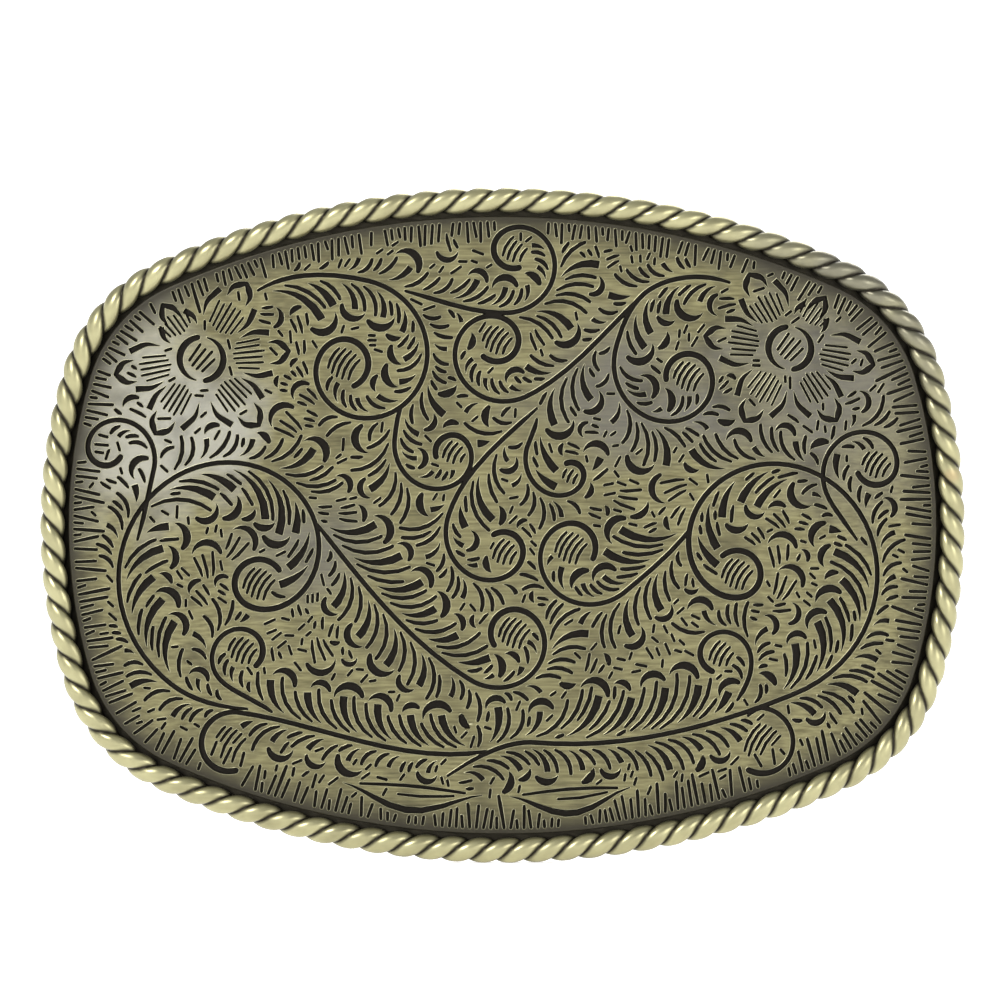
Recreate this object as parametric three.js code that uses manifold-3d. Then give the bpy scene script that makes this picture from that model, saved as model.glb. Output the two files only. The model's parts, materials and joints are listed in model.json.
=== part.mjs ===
// A western rope-edge belt buckle for a 38 mm belt.
//
// An engraved face plate is soldered on a plain back plate, and a twisted wire rope runs round it on the
// back plate's margin. Behind, a bail swings on a pinned bracket and takes the sewn end of the belt, and
// a ball-headed hook goes through the holes of the other end.
//
// Frame, in millimetres: +X to the right as the buckle is seen from the front, +Z up as it is worn, and
// the face looks along -Y. The origin is the middle of the back plate's rear surface, where the belt lies.
// Both plates are bent about a vertical axis behind the buckle, so their two ends lie back towards it.

import * as THREE from "three";
import { mergeVertices } from "three/addons/utils/BufferGeometryUtils.js";
import Module from "manifold-3d";

const wasm = await Module();
wasm.setup();

// Outline: a top and bottom arc, two side arcs and four corner arcs, all tangent.
const HALF_WIDTH = 47.5;
const HALF_HEIGHT = 34.5;
const TOP_RADIUS = 88;
const SIDE_RADIUS = 55.5;
const CORNER_RADIUS = 17.6;

// Plates: depths are measured forward from the back plate's rear surface.
const BEND_RADIUS = 220;
const BACK_PLATE_THICK = 1.3;
const SOLDER_FILM = 0.1;
const FACE_PLATE_THICK = 1.5;
const BACK_PLATE_INSET = 0.5;

// Rope: a round twisted wire on the back plate's margin.
const ROPE_RADIUS = 1.3;
const ROPE_TO_FACE = 0.35;
const ROPE_STEPS = 96;
const ROPE_SIDES = 12;

// Bracket: a leaf with an ear folded up at each end. Heights are above the rear surface.
const HINGE_X = 16;
const LEAF_GAP = 0.3;
const LEAF_THICK = 1.0;
const LEAF_INNER = 10;
const LEAF_OUTER = 3.4;
const LEAF_CORNER = 2.2;
const EAR_THICK = 1.6;
const EAR_RADIUS = 2.9;
const AXIS_HEIGHT = 4.2;

// Pin and bail.
const PIN_RADIUS = 1.1;
const PIN_CLEARANCE = 0.1;
const PIN_HEAD_RADIUS = 1.9;
const PIN_HEAD_LENGTH = 0.75;
const PIN_TIP_SHARE = 0.7;
const BAIL_HALF_HEIGHT = 23.8;
const BAIL_REACH = 20;
const BAIL_THICK = 2.6;
const BAIL_SIDE = 3.6;
const BAIL_BAR = 3.4;
const BAIL_CORNER = 4.2;
const WINDOW_GAP = 0.6;
const WINDOW_CORNER = 1.6;
const BARREL_RADIUS = 2.0;
const EAR_GAP = 0.3;

// Rivets through the leaf and the back plate.
const RIVET_RADIUS = 1.0;
const RIVET_HEAD_RADIUS = 2.0;
const RIVET_HEAD_HEIGHT = 0.8;
const RIVET_U = -6.4;
const RIVET_Z = 14;

// Hook.
const HOOK_X = -24;
const HOOK_BASE_RADIUS = 5.5;
const HOOK_BASE_GAP = 0.1;
const HOOK_BASE_THICK = 1.1;
const HOOK_NECK_RADIUS = 1.9;
const HOOK_HEAD_RADIUS = 2.7;
const HOOK_RISE = 5.4;
const HOOK_REACH = 4.2;
const HOOK_NOSE_RISE = 8.8;
const HOOK_NECK_SHARE = 0.55;

const HOLE_CLEARANCE = 0.15;
const RIVET_SEAT_GAP = HOLE_CLEARANCE / 3;

// How finely round shapes are faceted, and how far the plates' band reaches past their outline.
const ROUND_SIDES = 24;
const ARC_SEGMENTS = 8;
const BEND_SEGMENTS = 24;
const DOME_STEPS = 5;
const WIRE_STEPS = 14;
const WIRE_SEGMENTS = 10;
const OVERREACH = 3;

// ---------------------------------------------------------------- helpers

// A closed geometry as a manifold-3d solid.
function solid(geometry) {
  const bare = geometry.index ? geometry.toNonIndexed() : geometry.clone();
  bare.deleteAttribute("normal");
  bare.deleteAttribute("uv");
  const merged = mergeVertices(bare, 1e-4);
  return new wasm.Manifold(
    new wasm.Mesh({
      numProp: 3,
      vertProperties: merged.attributes.position.array,
      triVerts: new Uint32Array(merged.index.array),
    }),
  );
}

// A drawn path as points, each one once: arcs that meet give their shared point twice.
function tidy(Kind, path) {
  const points = path.getPoints(ARC_SEGMENTS);
  const kept = points.filter((p, i) => p.distanceTo(points[(i + 1) % points.length]) > 1e-3);
  return new Kind(kept);
}

function geometryOf(manifold) {
  const mesh = manifold.getMesh();
  const geometry = new THREE.BufferGeometry();
  geometry.setAttribute("position", new THREE.BufferAttribute(mesh.vertProperties, 3));
  geometry.setIndex(new THREE.BufferAttribute(mesh.triVerts, 1));
  geometry.computeVertexNormals();
  return geometry;
}

function metal(color, roughness) {
  return new THREE.MeshStandardMaterial({ color, roughness, metalness: 1 });
}

function part(name, shape, material) {
  const mesh = new THREE.Mesh(shape.isBufferGeometry ? shape : geometryOf(shape), material);
  mesh.name = name;
  return mesh;
}

// A cylinder along Z between two heights.
function rod(radius, low, high, sides = ROUND_SIDES) {
  const geometry = new THREE.CylinderGeometry(radius, radius, high - low, sides);
  return geometry.rotateX(Math.PI / 2).translate(0, 0, (low + high) / 2);
}

// A rod along +Y, the way the back faces.
function post(radius, low, high, sides = ROUND_SIDES) {
  return rod(radius, -high, -low, sides).rotateX(Math.PI / 2);
}

// A rectangle with rounded corners as a shape or a hole.
function roundedRectangle(Kind, x0, y0, x1, y1, r) {
  const path = new Kind();
  path.absarc(x1 - r, y0 + r, r, -Math.PI / 2, 0, false);
  path.absarc(x1 - r, y1 - r, r, 0, Math.PI / 2, false);
  path.absarc(x0 + r, y1 - r, r, Math.PI / 2, Math.PI, false);
  path.absarc(x0 + r, y0 + r, r, Math.PI, 1.5 * Math.PI, false);
  return tidy(Kind, path);
}

// A shape drawn in X and Z, standing from one height to another along +Y.
function slab(shape, low, high) {
  const geometry = new THREE.ExtrudeGeometry(shape, {
    depth: high - low,
    bevelEnabled: false,
  });
  return geometry.rotateX(Math.PI / 2).translate(0, high, 0);
}

// ---------------------------------------------------------------- outline and bend

// The centre of the corner arc, tangent inside the top arc and the side arc.
function cornerCentre() {
  const top = new THREE.Vector2(0, HALF_HEIGHT - TOP_RADIUS);
  const side = new THREE.Vector2(HALF_WIDTH - SIDE_RADIUS, 0);
  const toTop = TOP_RADIUS - CORNER_RADIUS;
  const toSide = SIDE_RADIUS - CORNER_RADIUS;
  const between = side.clone().sub(top);
  const d = between.length();
  const along = (toTop ** 2 - toSide ** 2 + d ** 2) / (2 * d);
  const off = Math.sqrt(toTop ** 2 - along ** 2);
  const u = between.normalize();
  return top.addScaledVector(u, along).add(new THREE.Vector2(u.y, -u.x).multiplyScalar(off));
}

// The buckle's outline in X and Z, moved in by inset.
function outline(inset) {
  const corner = cornerCentre();
  const topTurn = Math.atan2(corner.y - (HALF_HEIGHT - TOP_RADIUS), corner.x);
  const sideTurn = Math.atan2(corner.y, corner.x - (HALF_WIDTH - SIDE_RADIUS));
  const shape = new THREE.Shape();
  const half = Math.PI;
  const r = CORNER_RADIUS - inset;
  const side = HALF_WIDTH - SIDE_RADIUS;
  const top = HALF_HEIGHT - TOP_RADIUS;
  shape.absarc(side, 0, SIDE_RADIUS - inset, -sideTurn, sideTurn, false);
  shape.absarc(corner.x, corner.y, r, sideTurn, topTurn, false);
  shape.absarc(0, top, TOP_RADIUS - inset, topTurn, half - topTurn, false);
  shape.absarc(-corner.x, corner.y, r, half - topTurn, half - sideTurn, false);
  shape.absarc(-side, 0, SIDE_RADIUS - inset, half - sideTurn, half + sideTurn, false);
  shape.absarc(-corner.x, -corner.y, r, half + sideTurn, half + topTurn, false);
  shape.absarc(0, -top, TOP_RADIUS - inset, half + topTurn, 2 * half - topTurn, false);
  shape.absarc(corner.x, -corner.y, r, -topTurn, -sideTurn, false);
  return tidy(THREE.Shape, shape);
}

// The Y of a point at x and at a depth in front of the back plate's rear surface.
function bent(x, depth) {
  return BEND_RADIUS - Math.sqrt((BEND_RADIUS + depth) ** 2 - x ** 2);
}

// A plate of the outline, bent, between two depths: an arc-shaped band cut by the upright outline.
function plate(inset, low, high) {
  const spread = Math.asin((HALF_WIDTH + OVERREACH) / BEND_RADIUS);
  const middle = -Math.PI / 2;
  const band = new THREE.Shape();
  band.absarc(0, BEND_RADIUS, BEND_RADIUS + high, middle - spread, middle + spread, false);
  band.absarc(0, BEND_RADIUS, BEND_RADIUS + low, middle + spread, middle - spread, true);
  band.closePath();
  const tall = HALF_HEIGHT + OVERREACH;
  const arc = new THREE.ExtrudeGeometry(band, {
    depth: 2 * tall,
    bevelEnabled: false,
    curveSegments: BEND_SEGMENTS,
  }).translate(0, 0, -tall);
  return solid(arc).intersect(solid(slab(outline(inset), -2 * HALF_HEIGHT, 2 * HALF_HEIGHT)));
}

// The point on the rear surface at x, turned so that +Y stands square off the plate there.
function seat(x) {
  const group = new THREE.Group();
  group.position.set(x, bent(x, 0), 0);
  group.rotation.z = Math.asin(x / BEND_RADIUS);
  return group;
}

// The same turn and move, for a solid that cuts the plate.
function atSeat(geometry, x) {
  const group = seat(x);
  group.updateMatrix();
  return solid(geometry.applyMatrix4(group.matrix));
}

// ---------------------------------------------------------------- plates and rope

function backPlate() {
  const reach = 3 * BACK_PLATE_THICK;
  const drill = RIVET_RADIUS + HOLE_CLEARANCE;
  let body = plate(BACK_PLATE_INSET, 0, BACK_PLATE_THICK);
  for (const z of [RIVET_Z, -RIVET_Z]) {
    body = body.subtract(atSeat(post(drill, -reach, reach).translate(RIVET_U, 0, z), HINGE_X));
  }
  const tailHole = post(HOOK_NECK_RADIUS + HOLE_CLEARANCE, -reach, reach);
  return body.subtract(atSeat(tailHole, HOOK_X));
}

function facePlate() {
  const low = BACK_PLATE_THICK + SOLDER_FILM;
  return plate(2 * ROPE_RADIUS + ROPE_TO_FACE, low, low + FACE_PLATE_THICK);
}

// A torus whose ring is laid along the outline and bent with the plates.
function rope() {
  const geometry = new THREE.TorusGeometry(1, ROPE_RADIUS, ROPE_SIDES, ROPE_STEPS);
  const ring = outline(ROPE_RADIUS).getSpacedPoints(ROPE_STEPS);
  const depth = BACK_PLATE_THICK + SOLDER_FILM + ROPE_RADIUS;
  const position = geometry.attributes.position;
  for (let i = 0; i < position.count; i++) {
    const step = i % (ROPE_STEPS + 1);
    const turn = (Math.floor(i / (ROPE_STEPS + 1)) / ROPE_SIDES) * 2 * Math.PI;
    const at = ring[step % ROPE_STEPS];
    const next = ring[(step + 1) % ROPE_STEPS];
    const last = ring[(step + ROPE_STEPS - 1) % ROPE_STEPS];
    const along = next.clone().sub(last).normalize();
    const out = ROPE_RADIUS * Math.cos(turn);
    const x = at.x + along.y * out;
    const z = at.y - along.x * out;
    position.setXYZ(i, x, bent(x, depth + ROPE_RADIUS * Math.sin(turn)), z);
  }
  return solid(geometry);
}

// ---------------------------------------------------------------- hinge

const EAR_LOW = BAIL_HALF_HEIGHT + EAR_GAP;
const EAR_HIGH = EAR_LOW + EAR_THICK;
const LEAF_TOP = LEAF_GAP + LEAF_THICK;

// One ear: a tab with a round end and the pin's hole, standing off the leaf.
function ear(low) {
  const tab = new THREE.Shape();
  tab.moveTo(-EAR_RADIUS, LEAF_GAP);
  tab.lineTo(EAR_RADIUS, LEAF_GAP);
  tab.absarc(0, AXIS_HEIGHT, EAR_RADIUS, 0, Math.PI, false);
  tab.closePath();
  const hole = new THREE.Path();
  hole.absarc(0, AXIS_HEIGHT, PIN_RADIUS + PIN_CLEARANCE, 0, 2 * Math.PI, true);
  tab.holes.push(hole);
  const geometry = new THREE.ExtrudeGeometry(tab, {
    depth: EAR_THICK,
    bevelEnabled: false,
    curveSegments: ROUND_SIDES,
  });
  return solid(geometry.translate(0, 0, low));
}

function hingeBracket() {
  const Shape = THREE.Shape;
  const plan = roundedRectangle(Shape, -LEAF_INNER, -EAR_HIGH, LEAF_OUTER, EAR_HIGH, LEAF_CORNER);
  let body = solid(slab(plan, LEAF_GAP, LEAF_TOP));
  for (const z of [RIVET_Z, -RIVET_Z]) {
    const drill = post(RIVET_RADIUS + HOLE_CLEARANCE, -LEAF_TOP, 2 * LEAF_TOP);
    body = body.subtract(solid(drill.translate(RIVET_U, 0, z)));
  }
  return body.add(ear(EAR_LOW)).add(ear(-EAR_HIGH));
}

// A pin with a peened head at each end, turned as one profile.
function hingePin() {
  const end = EAR_HIGH + HOLE_CLEARANCE;
  const tip = end + PIN_HEAD_LENGTH;
  const profile = [
    [0, -tip],
    [PIN_HEAD_RADIUS * PIN_TIP_SHARE, -tip],
    [PIN_HEAD_RADIUS, -end - PIN_HEAD_LENGTH / 2],
    [PIN_HEAD_RADIUS, -end],
    [PIN_RADIUS, -end],
    [PIN_RADIUS, end],
    [PIN_HEAD_RADIUS, end],
    [PIN_HEAD_RADIUS, end + PIN_HEAD_LENGTH / 2],
    [PIN_HEAD_RADIUS * PIN_TIP_SHARE, tip],
    [0, tip],
  ].map(([x, y]) => new THREE.Vector2(x, y));
  const turned = new THREE.LatheGeometry(profile, ROUND_SIDES).rotateX(Math.PI / 2);
  return solid(turned.translate(0, AXIS_HEIGHT, 0));
}

// The swinging loop: a flat frame with its hinge side rolled into a barrel round the pin.
function bailLoop() {
  const { Shape, Path } = THREE;
  const tall = BAIL_HALF_HEIGHT;
  const frame = roundedRectangle(Shape, -BARREL_RADIUS, -tall, BAIL_REACH, tall, BAIL_CORNER);
  const window = roundedRectangle(
    Path,
    BARREL_RADIUS + WINDOW_GAP,
    -tall + BAIL_SIDE,
    BAIL_REACH - BAIL_BAR,
    tall - BAIL_SIDE,
    WINDOW_CORNER,
  );
  frame.holes.push(window);
  const low = AXIS_HEIGHT - BAIL_THICK / 2;
  const flat = solid(slab(frame, low, low + BAIL_THICK));
  const behind = new THREE.BoxGeometry(2 * BARREL_RADIUS, 2 * BARREL_RADIUS, 2.2 * tall);
  const trimmed = flat.subtract(solid(behind.translate(-BARREL_RADIUS, AXIS_HEIGHT, 0)));
  const barrel = solid(rod(BARREL_RADIUS, -tall, tall).translate(0, AXIS_HEIGHT, 0));
  const bore = rod(PIN_RADIUS + PIN_CLEARANCE, -2 * tall, 2 * tall).translate(0, AXIS_HEIGHT, 0);
  return trimmed.add(barrel).subtract(solid(bore));
}

// A rivet: a flush tail in the back plate and a low domed head on the leaf.
function rivet(z) {
  const base = LEAF_TOP + RIVET_SEAT_GAP;
  const profile = [new THREE.Vector2(0, -BACK_PLATE_THICK + SOLDER_FILM)];
  profile.push(new THREE.Vector2(RIVET_RADIUS, -BACK_PLATE_THICK + SOLDER_FILM));
  profile.push(new THREE.Vector2(RIVET_RADIUS, base));
  for (let i = 0; i <= DOME_STEPS; i++) {
    const turn = ((i / DOME_STEPS) * Math.PI) / 2;
    const r = i === DOME_STEPS ? 0 : RIVET_HEAD_RADIUS * Math.cos(turn);
    profile.push(new THREE.Vector2(r, base + RIVET_HEAD_HEIGHT * Math.sin(turn)));
  }
  return solid(new THREE.LatheGeometry(profile, ROUND_SIDES).translate(RIVET_U, 0, z));
}

// ---------------------------------------------------------------- hook

function hookBase() {
  const top = HOOK_BASE_GAP + HOOK_BASE_THICK;
  const disc = solid(post(HOOK_BASE_RADIUS, HOOK_BASE_GAP, top, 2 * ROUND_SIDES));
  return disc.subtract(solid(post(HOOK_NECK_RADIUS + HOLE_CLEARANCE, -top, 2 * top)));
}

// A round wire that rises from its tail, leans towards the buckle's end and finishes in a ball.
function hookPost() {
  const tail = new THREE.Vector3(0, -BACK_PLATE_THICK + SOLDER_FILM, 0);
  const neck = new THREE.Vector3(0, HOOK_RISE * HOOK_NECK_SHARE, 0);
  const bend = new THREE.Vector3(0, HOOK_RISE, 0);
  const nose = new THREE.Vector3(-HOOK_REACH, HOOK_NOSE_RISE, 0);
  const path = new THREE.CurvePath();
  path.add(new THREE.LineCurve3(tail, neck));
  path.add(new THREE.QuadraticBezierCurve3(neck, bend, nose));
  const section = new THREE.Shape();
  section.absarc(0, 0, HOOK_NECK_RADIUS, 0, 2 * Math.PI, false);
  const wire = new THREE.ExtrudeGeometry(section, {
    steps: WIRE_STEPS,
    curveSegments: WIRE_SEGMENTS,
    bevelEnabled: false,
    extrudePath: path,
  });
  const ball = new THREE.SphereGeometry(HOOK_HEAD_RADIUS, ROUND_SIDES, ROUND_SIDES / 2);
  return solid(wire).add(solid(ball.translate(nose.x, nose.y, nose.z)));
}

// ---------------------------------------------------------------- assembly

const brass = metal(0x8f8a5a, 0.38);
const darkBrass = metal(0x5e5a40, 0.5);
const steel = metal(0x8a8a84, 0.4);

const buckle = new THREE.Group();
buckle.add(part("back_plate", backPlate(), darkBrass));
buckle.add(part("face_plate", facePlate(), brass));
buckle.add(part("rope_edge", rope(), brass));

const hinge = seat(HINGE_X);
hinge.add(part("hinge_bracket", hingeBracket(), darkBrass));
hinge.add(part("hinge_rivet_upper", rivet(RIVET_Z), darkBrass));
hinge.add(part("hinge_rivet_lower", rivet(-RIVET_Z), darkBrass));
hinge.add(part("hinge_pin", hingePin(), steel));
hinge.add(part("bail_loop", bailLoop(), darkBrass));
buckle.add(hinge);

const hook = seat(HOOK_X);
hook.add(part("hook_base", hookBase(), darkBrass));
hook.add(part("hook_post", hookPost(), darkBrass));
buckle.add(hook);

export default buckle;
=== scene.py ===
"""A western belt buckle: an engraved brass plate in a rope edge, with its hook and swinging loop behind."""

import json
import math
import random
from collections import namedtuple

import bmesh
import bpy
import numpy as np
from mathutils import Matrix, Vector
from mathutils.geometry import delaunay_2d_cdt

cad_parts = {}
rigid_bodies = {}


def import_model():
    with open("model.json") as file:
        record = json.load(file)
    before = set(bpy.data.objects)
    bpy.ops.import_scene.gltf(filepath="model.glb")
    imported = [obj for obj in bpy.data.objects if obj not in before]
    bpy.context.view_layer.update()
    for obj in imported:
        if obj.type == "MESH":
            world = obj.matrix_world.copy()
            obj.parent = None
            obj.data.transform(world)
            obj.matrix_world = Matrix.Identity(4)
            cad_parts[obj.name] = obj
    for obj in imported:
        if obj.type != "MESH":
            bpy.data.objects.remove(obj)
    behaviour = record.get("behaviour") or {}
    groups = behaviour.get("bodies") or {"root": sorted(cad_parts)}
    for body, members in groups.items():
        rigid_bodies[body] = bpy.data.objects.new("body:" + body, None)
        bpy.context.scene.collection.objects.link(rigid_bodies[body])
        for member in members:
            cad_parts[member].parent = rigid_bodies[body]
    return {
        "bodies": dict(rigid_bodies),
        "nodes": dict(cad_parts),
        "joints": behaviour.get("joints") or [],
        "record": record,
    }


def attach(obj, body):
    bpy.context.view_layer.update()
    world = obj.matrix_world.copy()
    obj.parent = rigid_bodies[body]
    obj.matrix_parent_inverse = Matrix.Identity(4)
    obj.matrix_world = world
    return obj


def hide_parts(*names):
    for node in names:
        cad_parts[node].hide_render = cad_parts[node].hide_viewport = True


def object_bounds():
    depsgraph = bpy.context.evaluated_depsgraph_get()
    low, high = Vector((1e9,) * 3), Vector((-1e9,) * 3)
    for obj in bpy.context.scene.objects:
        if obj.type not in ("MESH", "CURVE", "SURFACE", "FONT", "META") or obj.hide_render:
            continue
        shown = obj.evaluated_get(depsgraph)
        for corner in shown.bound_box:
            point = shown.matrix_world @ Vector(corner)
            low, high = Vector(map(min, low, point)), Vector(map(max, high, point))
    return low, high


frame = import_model()
cad_low, cad_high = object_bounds()

# Lengths are in mm in the flat design, x to the right and z up, and become metres in add_mesh.

HALF_WIDTH, HALF_HEIGHT = 47.5, 34.5
TOP_RADIUS, SIDE_RADIUS, CORNER_RADIUS = 88.0, 55.5, 17.6
TOP_Z, SIDE_X = HALF_HEIGHT - TOP_RADIUS, HALF_WIDTH - SIDE_RADIUS
FACE_INSET = 2.95
FAR = 99.0


def direction(angle):
    """The unit vector at an angle in radians."""
    return np.array([math.cos(angle), math.sin(angle)])


def heading_way(degrees):
    """The unit vector in a heading in degrees."""
    return direction(math.radians(degrees))


def angle_of(way):
    return math.atan2(way[1], way[0])


def left_of(way):
    return np.array([-way[1], way[0]])


def unit(way):
    return way / np.hypot(*way)


def corner_centre():
    """The centre of the corner arc, tangent inside the top arc and the side arc."""
    top, side = np.array([0, TOP_Z]), np.array([SIDE_X, 0])
    to_top, to_side = TOP_RADIUS - CORNER_RADIUS, SIDE_RADIUS - CORNER_RADIUS
    apart = float(np.hypot(*(side - top)))
    along = (to_top**2 - to_side**2 + apart**2) / (2 * apart)
    way = (side - top) / apart
    return top + along * way - math.sqrt(to_top**2 - along**2) * left_of(way)


CORNER = corner_centre()
TOP_TURN, SIDE_TURN = angle_of(CORNER - (0, TOP_Z)), angle_of(CORNER - (SIDE_X, 0))


def inset_of(x, z):
    """How far points are inside the buckle's outline."""
    x, z = np.abs(x), np.abs(z)
    top = np.where(np.arctan2(z - TOP_Z, x) >= TOP_TURN, TOP_RADIUS - np.hypot(x, z - TOP_Z), FAR)
    side = np.where(np.arctan2(z, x - SIDE_X) <= SIDE_TURN, SIDE_RADIUS - np.hypot(x - SIDE_X, z), FAR)
    u, v = x - CORNER[0], z - CORNER[1]
    turn = np.arctan2(v, u)
    corner = np.where((turn > SIDE_TURN) & (turn < TOP_TURN), CORNER_RADIUS - np.hypot(u, v), FAR)
    return np.minimum(np.minimum(top, side), corner)


def outline(inset, spacing):
    """The outline moved in by inset, anticlockwise: as many points for every inset, at most spacing apart."""
    arcs = (
        ((SIDE_X, 0), SIDE_RADIUS, 0, SIDE_TURN),
        (CORNER, CORNER_RADIUS, SIDE_TURN, TOP_TURN),
        ((0, TOP_Z), TOP_RADIUS, TOP_TURN, math.pi / 2),
    )
    quarter = []
    for centre, radius, low, high in arcs:
        count = max(2, math.ceil(radius * (high - low) / spacing))
        turns = np.linspace(low, high, count, endpoint=False)
        quarter += [centre + (radius - inset) * direction(t) for t in turns]
    quarter = np.array(quarter)
    upper = np.vstack([quarter, [[0, HALF_HEIGHT - inset]], quarter[:0:-1] * np.array([-1, 1])])
    return np.vstack([upper, -upper])


# ---------------- lines and cuts

POINT_STEP = 0.12
LOOK = 0.15
# Where a cut keeps a point: after this much turn, run or change of half width.
CUT_TURN, FINE_CUT_TURN, CUT_RUN, CUT_WIDENING = 0.24, 0.12, 2.2, 0.07
LEAST_HALF_WIDTH = 0.025
ROUND_END_FROM = 0.11

# A cut's half width along its length, as shares of its widest: at its start, where it is widest, at its end.
LINE = (0.8, 0.5, 0.8)
HAIR = (0.6, 0.5, 0.8)
WEDGE = (0.12, 0.97, 0.95)
CRESCENT = (0.12, 0.45, 0.18)
COMMA = (0.12, 0.62, 0.6)


def smooth_line(points):
    """A Catmull-Rom line through the points, as points about POINT_STEP apart."""
    p = np.array(points, float)
    if len(p) == 2:
        count = max(2, int(np.hypot(*(p[1] - p[0])) / POINT_STEP))
        return p[0] + np.linspace(0, 1, count + 1)[:, None] * (p[1] - p[0])
    p = np.vstack([2 * p[0] - p[1], p, 2 * p[-1] - p[-2]])
    out = []
    for a, b, c, d in zip(p, p[1:], p[2:], p[3:]):
        count = max(2, int(np.hypot(*(c - b)) / POINT_STEP))
        t = np.linspace(0, 1, count, endpoint=False)[:, None]
        out.append(
            0.5 * (2 * b + (c - a) * t + (2 * a - 5 * b + 4 * c - d) * t**2 + (3 * b - a - 3 * c + d) * t**3)
        )
    return np.vstack(out + [p[-2:-1]])


def lengths(line):
    """The distance along the line to each of its points."""
    return np.concatenate([[0], np.cumsum(np.hypot(*np.diff(line, axis=0).T))])


def at(line, where):
    """The point and the direction of the line at a distance along it."""
    run = lengths(line)
    back, point, ahead = [
        np.array([np.interp(where + off, run, line[:, k]) for k in (0, 1)]) for off in (-LOOK, 0, LOOK)
    ]
    return point, unit(ahead - back)


def arc_line(start, heading, length, turn):
    """A line from a point, in a heading, that turns evenly by turn along its length. Angles in radians."""
    count = max(3, int(length / POINT_STEP))
    angle = heading + turn * ((np.arange(count) + 0.5) / count)
    steps = np.stack([np.cos(angle), np.sin(angle)], 1) * length / count
    return np.vstack([[start], start + np.cumsum(steps, axis=0)])


class Cut:
    """One engraved cut: a centre line with a half width at each of its points."""

    def __init__(self, line, half_width, shape, blunt=False, turn=CUT_TURN):
        first, peak, last = shape
        run = lengths(line) / lengths(line)[-1]
        rising = first + (1 - first) * np.sin(np.clip(run / peak, 0, 1) * math.pi / 2)
        falling = last + (1 - last) * np.sin(np.clip((1 - run) / (1 - peak), 0, 1) * math.pi / 2)
        half = half_width * np.where(run < peak, rising, falling)
        keep = self.needed(line, half, turn)
        self.line, self.half, self.blunt = line[keep], half[keep], blunt

    @staticmethod
    def needed(line, half, turn):
        """The points that the shape needs: where it has turned, grown or gone on far enough."""
        way = np.arctan2(*np.diff(line, axis=0).T[::-1])
        step = np.hypot(*np.diff(line, axis=0).T)
        kept, turned, since = [0], 0.0, 0.0
        for i in range(1, len(line) - 1):
            turned += (way[i] - way[i - 1] + math.pi) % (2 * math.pi) - math.pi
            since += step[i - 1]
            if abs(turned) > turn or since > CUT_RUN or abs(half[i] - half[kept[-1]]) > CUT_WIDENING:
                kept.append(i)
                turned, since = 0.0, 0.0
        return kept + [len(line) - 1]

    def outline(self, grow):
        """The cut's outline, moved out by grow: up its left side and back down its right."""
        line, half = self.line, np.maximum(self.half + grow, LEAST_HALF_WIDTH)
        way = np.gradient(line, axis=0)
        way /= np.hypot(*way.T)[:, None]
        side = np.stack([-way[:, 1], way[:, 0]], 1)
        left = line + side * half[:, None]
        right = line - side * half[:, None]
        start = self.cap(line[0], -way[0], half[0])
        if self.blunt:
            left[-1] += way[-1] * grow
            right[-1] += way[-1] * grow
            end = []
        else:
            end = self.cap(line[-1], way[-1], half[-1])
        return [*left, *end, *right[::-1], *start]

    @staticmethod
    def cap(point, way, half):
        """The points of a round end, from the left of the way it points to its right."""
        turns = (45, 0, -45) if half > ROUND_END_FROM else (0,)
        return [point + half * direction(angle_of(way) + math.radians(t)) for t in turns]

    def inside(self, points):
        """How far each point is inside the cut's edge: below 0 outside it."""
        best = np.full(len(points), -FAR)
        last = len(self.line) - 2
        for i in range(last + 1):
            a, along = self.line[i], self.line[i + 1] - self.line[i]
            size = float(np.hypot(*along))
            u = (points - a) @ along / size**2
            held = np.clip(u, 0, 1)
            half = self.half[i] + held * (self.half[i + 1] - self.half[i])
            found = half - np.hypot(*(points - a - held[:, None] * along).T)
            if self.blunt and i == last:
                across = np.abs((points - a) @ left_of(along)) / size
                past = (u - 1) * size
                found = np.where(u > 1, np.minimum(self.half[-1] - across, -past), found)
                found = np.where(u <= 1, np.minimum(found, -past), found)
            best = np.maximum(best, found)
        return best


# ---------------- keeping cuts apart

CELL = 0.1
GAP = 0.19
# How far the main lines, the border strokes and the filling keep from the face's edge.
MAIN_GAP, BORDER_GAP, FILL_GAP = 0.35, 0.2, 0.8


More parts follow.
